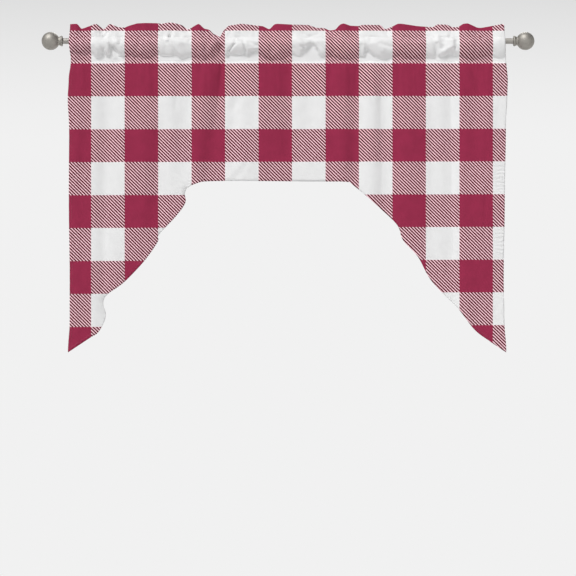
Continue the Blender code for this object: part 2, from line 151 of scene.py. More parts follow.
# Creases of the heading, as strokes: (x, z, to x, to z, half width, forward)
HEADING_CREASES = millimetres(
    (-522, 30, -513, 8, 3, -2.4), (-500, 28, -513, 8, 3, -2.4), (-513, 12, -514, 4, 3, -2),
    (-540, 26, -530, 4, 7, 2), (-482, 20, -476, -4, 6, 1.8), (-462, 12, -466, -10, 3.4, -1.8),
    (-514, 4, -514, -16, 4.5, 1.6), (-497, -10, -484, -20, 3, -1.4), (-484, -20, -464, -40, 3.2, -1.6),
    (-488, -34, -480, -46, 5, 1.2), (-545, -4, -530, -20, 6, 1.2), (-341, 30, -333, 18, 4, 2.8),
    (-333, 18, -335, 2, 4, 2.8), (-348, 22, -346, 0, 3.6, -2), (-344, -2, -341, -8, 2.8, -2.6),
    (-322, 30, -324, 14, 4, -1), (-280, 26, -292, 10, 6, 1.6), (-268, 10, -276, -4, 3.4, -1.6),
    (-335, -4, -342, -34, 4.5, -0.8), (-330, 2, -304, -34, 4.6, 2.4), (-316, 12, -300, -6, 9, 2),
    (-284, -20, -282, -38, 10, -1.4), (-276, 4, -280, -6, 3.5, 1), (-210, 22, -191, 6, 4, -2.2),
    (-186, 20, -190, -24, 4, -2.6), (-200, 12, -214, -30, 7, 2), (-164, 22, -162, 4, 6, -1.8),
    (-150, 30, -141, 2, 3.4, 3), (-136, 22, -122, 4, 3.4, -2), (-104, 12, -88, -4, 6, 2.2),
    (-144, 10, -149, -10, 2.6, -3.4), (-149, -10, -163, -26, 2.6, -3.6),
    (-163, -26, -166, -46, 3, -2.2), (-138, 6, -124, 2, 2.8, -1.4), (-124, 2, -117, -30, 2.8, -1.8),
    (-133, 0, -124, -24, 3.4, 1.4), (-106, -6, -86, -12, 5, -1.8), (-108, -22, -86, -20, 2.8, 1.2),
    (-104, -32, -84, -26, 2.6, -1), (40, 24, 72, 4, 3.4, -2.2), (80, 22, 50, 8, 3, -1.8),
    (22, 12, 38, -4, 7, 2), (88, 16, 96, 0, 5, 1.8), (24, 6, 40, -10, 7, 1.6),
    (36, -16, 50, -17, 3, -1.6), (69, 4, 36, -42, 3.2, 0.8), (69, 4, 92, -42, 3.2, 1),
    (84, -8, 104, -28, 4, -1.8), (18, -20, 34, -38, 5, -1.4), (228, 12, 248, 10, 2.6, -2.2),
    (206, 26, 222, 4, 5, 1.8), (262, 24, 278, 2, 6, 1.8), (208, 20, 212, -8, 4, 1.4),
    (202, -12, 204, -46, 3.6, -2), (216, -22, 234, -40, 3.4, -1.4), (234, -40, 258, -49, 3.4, -1.4),
    (256, -8, 286, -18, 5, -1.6), (238, 0, 262, -26, 11, 1.8), (388, 20, 400, 8, 3.4, -1.4),
    (465, 12, 458, 6, 3, -1.2), (404, 4, 412, -46, 5, -2.6), (412, -8, 413, -42, 4, -3),
    (414, 10, 418, 2, 8, 2.6), (418, 12, 440, 16, 6, 1.6), (440, 16, 456, 2, 7, 1.8),
    (456, 2, 455, -15, 7, 2.6), (455, -15, 446, -23, 7, 2), (446, -23, 430, -31, 7, 1.6),
    (430, -31, 420, -38, 6, 1.4), (419, -40, 436, -47, 4.5, 1), (434, -4, 430, -18, 8, -2.4),
    (467, -2, 465, -20, 4, -2.2), (572, -26, 584, -44, 6, -1.4), (-594, 0, -586, -40, 6, 1.2),
    (-448, 10, -432, -30, 6, 1.2), (-410, 10, -420, -36, 4.5, -1.2), (-386, 0, -376, -34, 6, 1.2),
    (-246, 12, -238, -34, 6, 1.4), (-222, 4, -230, -30, 4, -1.4), (-70, 10, -58, -34, 6, 1.4),
    (-50, 30, -46, -30, 4.5, -1.6), (-20, 4, -28, -32, 7, 1.4), (122, 26, 130, -30, 5, -1.6),
    (150, 10, 140, -36, 7, 1.4), (176, 6, 180, -40, 4.5, -1.2), (274, 30, 296, -16, 5, -1.4),
    (312, 10, 322, -34, 7, 1.4), (344, 8, 346, -38, 4, -1.4), (366, 6, 372, -40, 7, 1.4),
    (486, 10, 500, -36, 7, 1.4), (526, 26, 520, -38, 4.5, -1.4), (548, 8, 556, -42, 7, 1.4),
)
print("lobes:", len(POCKET_LOBES), "heading creases:", len(HEADING_CREASES))

# %% Skirt tables
# One row for each soft ridge or, where forward is below zero, trough:
# (upper x, upper z, lower x, lower z, half width, forward)
SKIRT_FOLDS = millimetres(
    (-572, -60, -585, -330, 13, 3), (-489, -60, -514, -760, 19, -3.6), (-452, -60, -472, -640, 24, 3.5),
    (-398, -60, -405, -560, 30, 4.5), (-352, -220, -372, -520, 20, -5), (-325, -60, -335, -350, 20, 3),
    (-216, -56, -262, -400, 26, 5.5), (-180, -56, -226, -400, 16, -4.2),
    (-140, -150, -160, -250, 16, -3.5), (-120, -60, -125, -390, 20, 3), (-56, -56, -62, -330, 26, 5),
    (-6, -56, 2, -300, 17, -4.5), (55, -140, 55, -260, 24, -3), (96, -60, 100, -300, 18, 2.5),
    (150, -56, 144, -400, 26, 6), (190, -60, 182, -400, 16, -3.8), (232, -60, 240, -440, 20, 5),
    (264, -80, 262, -460, 16, -3.6), (335, -60, 330, -520, 24, 3.5), (400, -200, 410, -660, 20, -3),
    (450, -60, 456, -700, 18, -3.6), (478, -60, 484, -720, 20, 3.5), (556, -80, 530, -640, 19, 3.5),
)
# Finer creases of the skirt, as strokes: (x, z, to x, to z, half width, forward)
SKIRT_CREASES = millimetres(
    (-573, -62, -566, -130, 4.5, 1), (-590, -70, -584, -180, 5, -0.8), (-596, -300, -580, -318, 6, 1.3),
    (-600, -340, -566, -352, 5, -1.3), (-600, -496, -564, -522, 6, 1.3),
    (-600, -624, -562, -598, 6, -1.4), (-596, -704, -556, -680, 6, 1.4),
    (-590, -790, -560, -770, 6, -0.9), (-420, -64, -422, -150, 5, -0.8),
    (-386, -64, -384, -170, 5, 0.8), (-372, -66, -374, -140, 4, -0.8), (-306, -62, -312, -180, 6, -0.9),
    (-240, -60, -256, -200, 5, -0.9), (-228, -60, -236, -150, 4.5, 0.9),
    (-182, -58, -196, -190, 5, -1.8), (-168, -186, -130, -206, 6, -1.4), (-170, -230, -128, -176, 8, 1),
    (-166, -380, -126, -336, 6, 1.4), (-150, -388, -112, -340, 5, -1.2),
    (-124, -362, -104, -370, 6, -1.4), (-92, -60, -98, -160, 5, 0.8), (-36, -60, -30, -130, 5, -1),
    (-6, -58, 6, -90, 6, -1.6), (118, -60, 112, -150, 5, -1), (168, -58, 172, -150, 4.5, -1),
    (204, -62, 248, -165, 6, 1.4), (196, -70, 238, -178, 6, -1.2), (256, -150, 260, -420, 4, -1),
    (314, -62, 318, -180, 4.5, 0.8), (346, -66, 344, -170, 4.5, -0.9), (362, -62, 366, -130, 4.5, 0.8),
    (404, -520, 452, -590, 8, -1.4), (396, -560, 430, -620, 7, 1.2), (452, -150, 456, -600, 5, -0.7),
    (520, -62, 556, -150, 6, 1.2), (506, -66, 534, -160, 6, -1), (552, -240, 546, -560, 5, -1),
    (572, -60, 588, -110, 5, 1),
)
# Where the lower hem curls to the back: (x, z, to x, to z, half width, forward)
HEM_CURLS = millimetres(
    (-500, -772, -510, -716, 9, -5), (-284, -452, -284, -416, 8, -5), (-356, -552, -356, -528, 7, -3),
    (312, -522, 324, -560, 8, -3), (166, -386, 196, -412, 7, 2),
)
print("skirt folds:", len(SKIRT_FOLDS), "fine creases:", len(SKIRT_CREASES))

# %% Outline of the lower edge
# From the left tip over the arch to the right tip: (x, z)
LOWER_EDGE = millimetres(
    (-610.5, -864), (-551, -824.5), (-526, -807), (-507, -765), (-514, -726), (-500, -702),
    (-456, -670), (-399, -610.5), (-362, -557), (-359, -538), (-311, -486), (-286, -450), (-287, -424),
    (-279, -408), (-256, -396), (-218, -389), (-80, -388.5), (60, -390), (162, -391), (181, -400),
    (238, -448), (302, -509), (320, -553), (361, -599), (390, -653), (420, -690), (472, -742),
    (518, -801), (560, -833), (605.5, -864),
)
print("arch height under the rod:", round(-LOWER_EDGE[16][1], 3), "m")

# %% [markdown]
# ## From tables to a surface
# A table row is a crest or a dip, so the surface should be level there and slope between
# rows. The smoothstep curve does exactly that. A crease is a line on the cloth, and its
# height dies away with the distance to that line as a bell curve. Everything is worked out
# for all points at once with numpy, because the cloth has tens of thousands of them.


# %% Easing and creases
def eased(share):
    share = np.clip(share, 0.0, 1.0)
    return share * share * (3.0 - 2.0 * share)


def eased_column(table, column, at):
    """One column of a table at these places, level at its rows and eased between them."""
    rows = np.array(sorted(table))
    index = np.clip(np.searchsorted(rows[:, 0], at) - 1, 0, len(rows) - 2)
    low = rows[index]
    high = rows[index + 1]
    share = eased((at - low[..., 0]) / (high[..., 0] - low[..., 0]))
    return low[..., column] + (high[..., column] - low[..., column]) * share


def creases(strokes, x, z):
    """How far forward the strokes push the cloth at these places."""
    forward = np.zeros_like(x)
    for x_from, z_from, x_to, z_to, half_width, height in strokes:
        along_x = x_to - x_from
        along_z = z_to - z_from
        length_squared = along_x**2 + along_z**2
        share = ((x - x_from) * along_x + (z - z_from) * along_z) / length_squared
        share = np.clip(share, 0.0, 1.0)
        off_x = x - (x_from + along_x * share)
        off_z = z - (z_from + along_z * share)
        forward += height * np.exp(-(off_x**2 + off_z**2) / half_width**2)
    return forward


middle = creases(HEADING_CREASES, np.array([-0.332]), np.array([-0.020]))
print("a crease pushes the pocket", round(float(middle[0]) * 1000, 2), "mm")

# %% [markdown]
# ## The skirt's folds
# Below the pocket the cloth falls in soft, nearly upright folds that fade out towards the
# arch. Gathering also leaves short puckers just under the seam, and the thread of the side
# hems draws the cloth into small ripples. Those are too fine for the solid, and they are
# what makes it read as sewn cloth.

# %% Relief of the skirt
SKIRT_START_DROP = 0.009
SKIRT_STEP = 0.0034
SKIRT_STEP_DROP = 0.013
SKIRT_LEAN = 0.0006
SKIRT_LEAN_DROP = 0.10
# Gathers under the seam: (length of a ripple, where it starts, height)
PUCKERS = ((0.0091, 0.4, 0.00028), (0.0137, 1.9, 0.00034), (0.0232, 4.1, 0.00045))
PUCKER_FADE = 0.050
RIPPLE_LENGTH = 0.0115
RIPPLE_HEIGHT = 0.00095
HEM_WIDTH = 0.008
RIPPLE_REACH = 2.1 * HEM_WIDTH


def skirt_forward(x, z):
    """How far the skirt stands towards the room."""
    below = LOWER_SEAM - z
    forward = SKIRT_STEP * eased(below / SKIRT_STEP_DROP)
    forward = forward + SKIRT_LEAN * eased(below / SKIRT_LEAN_DROP)
    for upper_x, upper_z, lower_x, lower_z, half_width, height in SKIRT_FOLDS:
        down = (upper_z - z) / (upper_z - lower_z)
        line_x = upper_x + (lower_x - upper_x) * down
        widened = half_width * (1.0 + 0.5 * np.clip(down, 0.0, 1.3))
        fade = eased((down + 0.15) / 0.30) * eased((1.35 - down) / 0.50)
        forward = forward + height * fade * np.exp(-(((x - line_x) / widened) ** 2))
    forward = forward + creases(SKIRT_CREASES, x, z) + creases(HEM_CURLS, x, z)
    for length, start, height in PUCKERS:
        ripple = np.sin(x / length * 2.0 * math.pi + start + 3.0 * np.sin(x * 31.0))
        forward = forward + height * ripple * np.exp(-np.clip(below, 0.0, None) / PUCKER_FADE)
    return (forward + side_ripples(x, z)) * eased(below / SKIRT_START_DROP)


def side_x(z, column):
    """The side edge's x at this height: column 1 is the left edge and 2 the right."""
    return eased_column(SIDE_EDGES, column, z)


def side_ripples(x, z):
    """Small ripples where the thread of the side hems draws the cloth."""
    wander = 2.2 * np.sin(z * 23.0) + 1.3 * np.sin(z * 61.0)
    ripple = np.sin(z / RIPPLE_LENGTH * 2.0 * math.pi + wander)
    patchy = 0.55 + 0.45 * np.sin(z * 17.0 + 0.8)
    near = sum(np.exp(-(((x - side_x(z, side)) / RIPPLE_REACH) ** 2)) for side in (1, 2))
    return RIPPLE_HEIGHT * ripple * patchy * near


spots = np.linspace(-0.6, 0.6, 601)
depths = skirt_forward(spots, np.full_like(spots, -0.25))
print("skirt relief at mid drop:", round(float(np.ptp(depths)) * 1000, 1), "mm")

# %% [markdown]
# ## The pocket's and header's folds
# Over the rod the cloth follows a circle a little wider than the rod. Below it the front
# bulges in lobes and tucks back to the seam, so each lobe has a steep underside, and those
# undersides are the dark curves that are seen from the room. Above the rod both layers
# stand up together as a wavy header, so one wave moves the two of them.

# %% Relief of the pocket and the header
SEAM_SWING = 0.25
HEADER_SEAM_SWING = 0.30
LOBE_CREST = -0.009
CREST_ABOVE_EDGE = 0.006
# Powers that round a lobe below its crest and the cloth over the rod above it
LOBE_BULGE = 1.5
LOBE_UNDERSIDE = 0.62
OVER_ROD = 0.8
# The flat strip between a lobe and the lower seam
STRIP_LEAN = 0.0016
STRIP_HEIGHT = 0.030
CREASE_GAIN = 1.5
HEADER_LEAN = 0.0060
# Gathers at the upper seam: (length of a ripple, where it starts, height)
GATHERS = ((0.0093, 0.9, 0.0006), (0.0147, 2.6, 0.0009), (0.0260, 5.0, 0.0012))
GATHER_FADE = 0.011


def gathers(x, z):
    """How far forward the gathering thread of the upper seam pushes both layers."""
    forward = np.zeros_like(x)
    for length, start, height in GATHERS:
        wave = np.sin(x / length * 2.0 * math.pi + start + 3.0 * np.sin(x * 27.0))
        forward = forward + height * (0.5 + 0.5 * wave)
    return forward * np.exp(-np.abs(z - UPPER_SEAM) / GATHER_FADE)


def on_rod(z):
    """How far before or behind its axis the rod keeps the cloth."""
    return np.sqrt(np.maximum(AROUND_ROD**2 - z**2, LAYER_OFFSET**2))


def front_depth(x, z):
    """How far the pocket's front stands before the rod's axis, from the lower seam to the upper."""
    edge = eased_column(POCKET_LOBES, 1, x)
    crest = np.maximum(edge + CREST_ABOVE_EDGE, LOBE_CREST)
    raised = np.clip((crest - LOBE_CREST) / 0.010, 0.0, 1.0)
    full = AROUND_ROD + eased_column(POCKET_LOBES, 2, x) * (1.0 - 0.8 * raised)
    down = np.clip((crest - z) / (crest - edge), 0.0, 1.0)
    strip = LAYER_OFFSET + STRIP_LEAN * eased((z - LOWER_SEAM) / STRIP_HEIGHT)
    lobe = strip + (full - strip) * (1.0 - down**LOBE_BULGE) ** LOBE_UNDERSIDE
    up = np.clip((z - crest) / (UPPER_SEAM - crest), 0.0, 1.0)
    slack = 2.1 + 0.7 * np.sin(x * 71.0 + 2.0 * np.sin(x * 29.0))
    over = LAYER_OFFSET + (full - LAYER_OFFSET) * (1.0 - up**slack) ** OVER_ROD
    return np.maximum(np.where(z > crest, over, lobe), on_rod(z))


def back_depth(z):
    """How far the pocket's back stands behind the rod's axis: straight from the rod to the seam."""
    up = np.clip((z - LOWER_SEAM) / -LOWER_SEAM, 0.0, 1.0)
    straight = LAYER_OFFSET + (AROUND_ROD - LAYER_OFFSET) * up
    back_to_seam = np.cos(np.clip(z / UPPER_SEAM, 0.0, 1.0) * math.pi / 2.0) ** 2
    return np.maximum(straight * back_to_seam, on_rod(z))


def pocket_depths(x, z):
    """How far the pocket's front and back stand from the rod's axis."""
    front = front_depth(x, z)
    folded = CREASE_GAIN * creases(HEADING_CREASES, x, z) + gathers(x, z)
    raised = np.maximum(folded, 0.0)
    folded = folded * eased((z - LOWER_SEAM) / 0.006)
    front = np.maximum(front + folded, 0.2 * front + 0.8 * on_rod(z))
    return front, back_depth(z) - raised * eased((z - 0.0074) / (UPPER_SEAM - 0.0074))


def top_edge(x):
    """Height of the header's top edge, with its corners a little rounded."""
    at, height = np.array(TOP_EDGE).T
    return sum(np.interp(x + shift, at, height) for shift in (-0.0015, 0.0, 0.0015)) / 3.0


def header_wave(x, lift):
    """How far back the header's middle stands, this share of the way up it."""
    gain = HEADER_SEAM_SWING + (1.0 - HEADER_SEAM_SWING) * eased(lift)
    wave = gain * eased_column(RUFFLE, 1, x)
    fine = 0.0005 * np.sin(x * 410.0 + 2.0 * np.sin(x * 53.0))
    return wave + fine * eased(lift / 0.3)


front, back = pocket_depths(np.array([0.25]), np.array([-0.009]))
print("a lobe stands", round(float(front[0]) * 1000, 1), "mm before the rod's axis")

# %% [markdown]
# ## Hanging the cloth
# The cloth is first cut flat and then hung. A point of the flat panel has two numbers: x
# across it and v up it, where v is the hung height on the front and carries on over the
# top fold and down the back. One function turns these into the hung place. That keeps the
# cutting simple, as on a maker's table, and lets the seams and hems use the same function.

# %% Flat place to hung place
FOLD_HALF = HEADER_FOLD_RADIUS * math.pi / 2.0
# Shares of the header's height over which its layers part and then round the fold
HEADER_OPENS = 0.12
HEADER_ROUNDS = 0.20
LEAST_HEADER = 0.0012
SLOPE_REACH = 0.002
# The heights from which the pocket swings with the lower and with the upper seam
SWING_DOWN_FROM = -0.020
SWING_UP_FROM = 0.004


def hang(x, v, outward=0.0):
    """Hung x, y and z of these flat places, this far off the cloth's middle on its printed side."""
    side = np.where(v > HEADER_TOP, 1.0, -1.0)
    plain = np.where(v > HEADER_TOP, 2.0 * HEADER_TOP - v, v)
    top = top_edge(x)
    turn = np.clip((v - HEADER_TOP) / HEADER_FOLD_RADIUS, -math.pi / 2, math.pi / 2)
    lift = np.clip((plain - UPPER_SEAM) / (HEADER_TOP - FOLD_HALF - UPPER_SEAM), 0.0, 1.0)
    opened = eased(lift / HEADER_OPENS)
    layer = LAYER_OFFSET + (HEADER_LAYER_OFFSET - LAYER_OFFSET) * opened
    rounding = eased((lift - (1.0 - HEADER_ROUNDS)) / HEADER_ROUNDS)
    layer = layer + (HEADER_FOLD_RADIUS - HEADER_LAYER_OFFSET) * rounding
    in_fold = np.abs(v - HEADER_TOP) < FOLD_HALF
    off = np.where(in_fold, HEADER_FOLD_RADIUS * np.sin(turn), side * layer)
    off = off + side * outward
    rise = np.maximum(top - HEADER_FOLD_RADIUS - UPPER_SEAM, LEAST_HEADER) * lift
    header_z = UPPER_SEAM + rise + np.where(in_fold, HEADER_FOLD_RADIUS * np.cos(turn), 0.0)
    ahead = header_wave(x + SLOPE_REACH, lift)
    turned = np.arctan((ahead - header_wave(x - SLOPE_REACH, lift)) / (2.0 * SLOPE_REACH))
    shared = CREASE_GAIN * creases(HEADING_CREASES, x, plain) + gathers(x, plain)
    shared = np.maximum(shared, 0.0) + np.minimum(shared, 0.0) * eased((plain - UPPER_SEAM) / 0.004)
    shared = shared - HEADER_LEAN * eased(lift / 1.2)
    header_y = header_wave(x, lift) - shared + off * np.cos(turned)
    header_x = x - off * np.sin(turned)

    seam_y = SEAM_SWING * eased_column(RUFFLE, 1, x)
    front_out, back_out = pocket_depths(x, plain)
    front = side < 0.0
    with_lower = eased((SWING_DOWN_FROM - plain) / (SWING_DOWN_FROM - LOWER_SEAM))
    with_upper = eased((plain - SWING_UP_FROM) / (UPPER_SEAM - SWING_UP_FROM))
    swing = seam_y * with_lower + HEADER_SEAM_SWING / SEAM_SWING * seam_y * with_upper
    pocket_y = swing + side * (np.where(front, front_out, back_out) + outward)
    skirt_y = seam_y - LAYER_OFFSET - outward - skirt_forward(x, plain)

    in_header = plain > UPPER_SEAM
    in_skirt = front & (plain < LOWER_SEAM)
    hung_x = np.where(in_header, header_x, x)
    hung_y = np.where(in_header, header_y, np.where(in_skirt, skirt_y, pocket_y))
    hung_z = np.where(in_header, header_z, plain)
    return hung_x, hung_y, hung_z


tip = hang(np.array([-0.6]), np.array([-0.80]))
print("left tail near its tip:", [round(float(value[0]), 4) for value in tip])

# %% [markdown]
# ## Cutting the panel
# The flat panel starts as one grid with fine rows at the heading, where the crumples are,
# and longer cells in the skirt. A Boolean then takes the scoop out of the flat grid. It
# could be cut after hanging, but a flat cut is exact and quick, and both layers of the
# heading stay out of it. The scoop's outline is a smooth curve through the table's points.

# %% The outline as a smooth route
def smooth_route(points, steps):
    """Points of a smooth curve that passes through all the given ones."""
    knots = np.array([points[0], *points, points[-1]], float)
    share = np.linspace(0.0, 1.0, steps, endpoint=False)[:, None]
    route = []
    for before, start, end, after in zip(knots, knots[1:], knots[2:], knots[3:]):
        bend = 2.0 * before - 5.0 * start + 4.0 * end - after
        twist = 3.0 * start - before - 3.0 * end + after
        steady = (end - before) * share
        route.append(start + 0.5 * (steady + bend * share**2 + twist * share**3))
    route.append(knots[-1:])
    return np.concatenate(route)


edge_route = smooth_route(LOWER_EDGE, 14)
steps_along = np.linalg.norm(np.diff(edge_route, axis=0), axis=1)
print("lower edge:", len(edge_route), "points,", round(float(steps_along.sum()), 2), "m long")

# %% The flat panel
COLUMNS = 318
# Bands of rows, from the tails' tips up and over to the hem behind: (v at its end, rows)
ROW_BANDS = (
    (-0.070, 84),
    (0.000, 46),
    (UPPER_SEAM, 7),
    (HEADER_TOP - FOLD_HALF, 11),
    (HEADER_TOP + FOLD_HALF, 6),
    (2.0 * HEADER_TOP - UPPER_SEAM, 8),
    (2.0 * HEADER_TOP, 4),
    (2.0 * HEADER_TOP - BACK_HEM, 9),
)


def row_heights():
    """The v of each row of the panel."""
    heights = [FOOT]
    for end, rows in ROW_BANDS:
        heights.extend(np.linspace(heights[-1], end, rows + 1)[1:])
    return np.array(heights)


def flat_panel():
    """The panel before it is cut: a grid between the two side edges."""
    heights = row_heights()
    panel = bmesh.new()
    last = len(heights) - 1
    bmesh.ops.create_grid(panel, x_segments=COLUMNS, y_segments=last, size=0.5)
    for vert in panel.verts:
        across = vert.co.x + 0.5
        v = float(heights[round((vert.co.y + 0.5) * last)])
        level = min(v, 2.0 * HEADER_TOP - v)
        left = float(side_x(level, 1))
        right = float(side_x(level, 2))
        vert.co = (left + (right - left) * across, 0.0, v)
    return panel


panel = flat_panel()
print("flat panel:", len(panel.faces), "cells")


# %% The scoop that is cut out
def scoop_block():
    """A block of the scoop's shape, which the Boolean takes out of the flat panel."""
    left, right = edge_route[0], edge_route[-1]
    beside = [(left[0] - 0.05, left[1] - 0.10), (left[0] - 0.05, left[1] - 0.033)]
    beyond = [(right[0] + 0.05, right[1] - 0.033), (right[0] + 0.05, right[1] - 0.10)]
    block = bmesh.new()
    outline = [block.verts.new((x, -0.01, z)) for x, z in [*beside, *edge_route, *beyond]]
    face = block.faces.new(outline)
    pulled = bmesh.ops.extrude_face_region(block, geom=[face])
    moved = [item for item in pulled["geom"] if isinstance(item, bmesh.types.BMVert)]
    bmesh.ops.translate(block, verts=moved, vec=(0.0, 0.02, 0.0))
    bmesh.ops.recalc_face_normals(block, faces=block.faces)
    return block


def put_in_scene(name, data):
    """An object of this name that shows a mesh, light or camera."""
    made = bpy.data.objects.new(name, data)
    bpy.context.scene.collection.objects.link(made)
    return made


def to_object(name, shape):
    """Puts a bmesh into the scene as an object of this name."""
    mesh = bpy.data.meshes.new(name)
    shape.to_mesh(mesh)
    shape.free()
    return put_in_scene(name, mesh)


def cut_panel():
    """The flat panel with the scoop taken out, as a mesh."""
    uncut = to_object("uncut_panel", panel)
    scoop = to_object("scoop", scoop_block())
    cut = uncut.modifiers.new("scoop", "BOOLEAN")
    cut.operation = "DIFFERENCE"
    cut.object = scoop
    bpy.context.view_layer.update()
    graph = bpy.context.evaluated_depsgraph_get()
    mesh = bpy.data.meshes.new_from_object(uncut.evaluated_get(graph))
    bpy.data.objects.remove(scoop)
    bpy.data.objects.remove(uncut)
    return mesh


cloth_mesh = cut_panel()
cut_area = sum(face.area for face in cloth_mesh.polygons)
print("cut panel:", len(cloth_mesh.polygons), "cells, flat area", round(cut_area, 3), "m2")

# %% [markdown]
# ## Hanging it on the rod
# Each point of the cut panel is moved to its hung place. Before that its flat place is
# kept as a UV map, in metres, so that the print lies on the cloth and not in space. On
# the back the map runs on past the fold, as the print does, and its rows are straight again
# from the upper seam down. Solidify then gives the cloth its thickness, with a second
# material for the unprinted side.

# %% The hung cloth
# The header's mean height. Below the header, the back's print is measured over this height
# and not over the uneven top edge, so that its rows are straight.
MEAN_TOP = 0.043
SWELL_HEIGHT = 0.0018
SWELLS_ACROSS = 9.0
SWELLS_UP = 4.0
SWELL_FADE = 0.06


def print_place(x, v):
    """Where the print is read: hung height in front, carried on over the fold behind."""
    _, _, z = hang(x, v)
    lift = (2.0 * HEADER_TOP - v - UPPER_SEAM) / (HEADER_TOP - UPPER_SEAM)
    turned_at = MEAN_TOP + (top_edge(x) - MEAN_TOP) * eased(lift)
    return x, np.where(v > HEADER_TOP, 2.0 * turned_at - z, z)


def add_print_map(mesh, places):
    """A UV map in metres, from a print place for each point."""
    layer = mesh.uv_layers.new(name="print")
    corners = np.empty(len(mesh.loops), np.int32)
    mesh.loops.foreach_get("vertex_index", corners)
    layer.data.foreach_set("uv", places[corners].astype(np.float32).ravel())


def slight_unevenness(x, v):
    """Slow, slight swells of the skirt, fading out at the seam above it."""
    places = zip(x * SWELLS_ACROSS, v * SWELLS_UP)
    swell = [noise.noise(Vector((across, 3.7, up))) for across, up in places]
    return SWELL_HEIGHT * np.array(swell) * eased((LOWER_SEAM - v) / SWELL_FADE)


def hung_places(flat, outward=0.0):
    """Hung places of these flat ones, this far off the cloth's middle, swells and all."""
    places = np.stack(hang(flat[:, 0], flat[:, 1], outward), axis=1)
    places[:, 1] += slight_unevenness(flat[:, 0], flat[:, 1])
    return places


def hang_mesh(mesh):
    """Moves a flat mesh to its hung place and maps its print."""
    corners = np.empty(len(mesh.vertices) * 3, np.float32)
    mesh.vertices.foreach_get("co", corners)
    flat = corners.reshape(-1, 3)[:, ::2].astype(float)
    mesh.vertices.foreach_set("co", hung_places(flat).astype(np.float32).ravel())
    add_print_map(mesh, np.stack(print_place(flat[:, 0], flat[:, 1]), axis=1))
    mesh.update()


hang_mesh(cloth_mesh)
cloth = put_in_scene("valance_cloth", cloth_mesh)
cloth_mesh.shade_smooth()
depth_span = [round(value, 4) for value in (cloth.bound_box[0][1], cloth.bound_box[6][1])]
print("hung cloth from", depth_span[0], "to", depth_span[1], "in y")


# %% Thickness
def give_thickness(piece, thickness):
    """Thickness on both sides of the surface, with the second material on its reverse."""
    shell = piece.modifiers.new("thickness", "SOLIDIFY")
    shell.thickness = thickness
    shell.offset = 0.0
    shell.material_offset = 1


give_thickness(cloth, CLOTH_THICKNESS)
print("cloth thickness:", CLOTH_THICKNESS * 1000, "mm")

# %% [markdown]
# ## Hems
# The raw edges of the sides and of the scoop are turned to the back and sewn. From the
# front only the rounded edge and a fine line of stitches show, and from behind a narrow
# band of the printed side does. Each band is a strip that follows the edge: it starts just
# inside the raw edge in front, rolls round it and runs inwards behind the cloth.

# %% Hem bands
# Across a hem, from its lip in front to its inner edge behind: (inwards, to the back)
HEM_SECTION = (
    (0.0005, -0.00010),
    (-0.0002, -0.00005),
    (-0.0004, 0.00025),
    (-0.0002, 0.00070),
    (0.0006, 0.00100),
    (0.0040, 0.00110),
    (HEM_WIDTH, 0.00100),
)
HEM_THICKNESS = 0.0005
SIDE_MARGIN = 0.0005


def unit(vectors):
    """These vectors at length 1."""
    return vectors / np.linalg.norm(vectors, axis=1)[:, None]


def inward_normals(route, turn):
    """Unit normals of a flat route, on the side that turn (1 or -1) picks."""
    along = unit(np.gradient(route, axis=0))
    return turn * np.stack([-along[:, 1], along[:, 0]], axis=1)


def keep_inside(flat):
    """These flat places, with those beside the panel moved onto its side edges."""
    left = side_x(flat[:, 1], 1) - SIDE_MARGIN
    right = side_x(flat[:, 1], 2) + SIDE_MARGIN
    return np.stack([np.clip(flat[:, 0], left, right), flat[:, 1]], axis=1)


def hem_band(name, route, turn):
    """A narrow band rolled round an edge, with its print mapped."""
    inward = inward_normals(route, turn)
    band = bmesh.new()
    across = len(HEM_SECTION) - 1
    last = len(route) - 1
    bmesh.ops.create_grid(band, x_segments=last, y_segments=across, size=0.5)
    step = np.array([round((vert.co.x + 0.5) * last) for vert in band.verts])
    part = np.array([round((vert.co.y + 0.5) * across) for vert in band.verts])
    section = np.array(HEM_SECTION)[part]
    flat = keep_inside(route[step] + inward[step] * section[:, :1])
    places = hung_places(flat)
    places[:, 1] += section[:, 1]
    for vert, place in zip(band.verts, places):
        vert.co = place
    bmesh.ops.recalc_face_normals(band, faces=band.faces)
    made = to_object(name, band)
    add_print_map(made.data, flat)
    made.data.shade_smooth()
    give_thickness(made, HEM_THICKNESS)
    return made


def side_route(column):
    """The side edge from just under the heading down to the tip."""
    heights = np.linspace(LOWER_SEAM - 0.001, LOWER_EDGE[0][1] + 0.0065, 150)
    return np.stack([side_x(heights, column), heights], axis=1)


# Each hem's name, its edge, and the side of the edge that the cloth is on
hem_edges = (
    ("hem_arch", edge_route, 1.0),
    ("hem_left", side_route(1), 1.0),
    ("hem_right", side_route(2), -1.0),
)
hems = [hem_band(name, route, turn) for name, route, turn in hem_edges]
print("hem bands:", [len(hem.data.polygons) for hem in hems], "faces each")

# %% [markdown]
# ## Sewing thread
# A seam is a row of short stitches that sink a little into the cloth. They are modelled
# one by one as tiny six-sided rods, because a painted dashed line has no shadow when the
# camera comes close. The two seams of the pocket run right across, and the hems have one
# row each. Each stitch is laid between two hung places, so it follows every fold.

# %% Stitches
STITCH_LENGTH = 0.0030
STITCH_GAP = 0.0009
THREAD_RADIUS = 0.00015
STITCH_SIDES = 6
# Above the line where the layers part, so that the thread isn't buried between them
UPPER_THREAD_LIFT = 0.0012
HEM_THREAD_INSET = 0.87 * HEM_WIDTH


def even_route(route, spacing):
    """The route's points at even distances along it."""
    reached = np.concatenate([[0.0], np.cumsum(np.linalg.norm(np.diff(route, axis=0), axis=1))])
    wanted = np.arange(0.0, reached[-1], spacing)
    return np.stack([np.interp(wanted, reached, route[:, axis]) for axis in (0, 1)], axis=1)


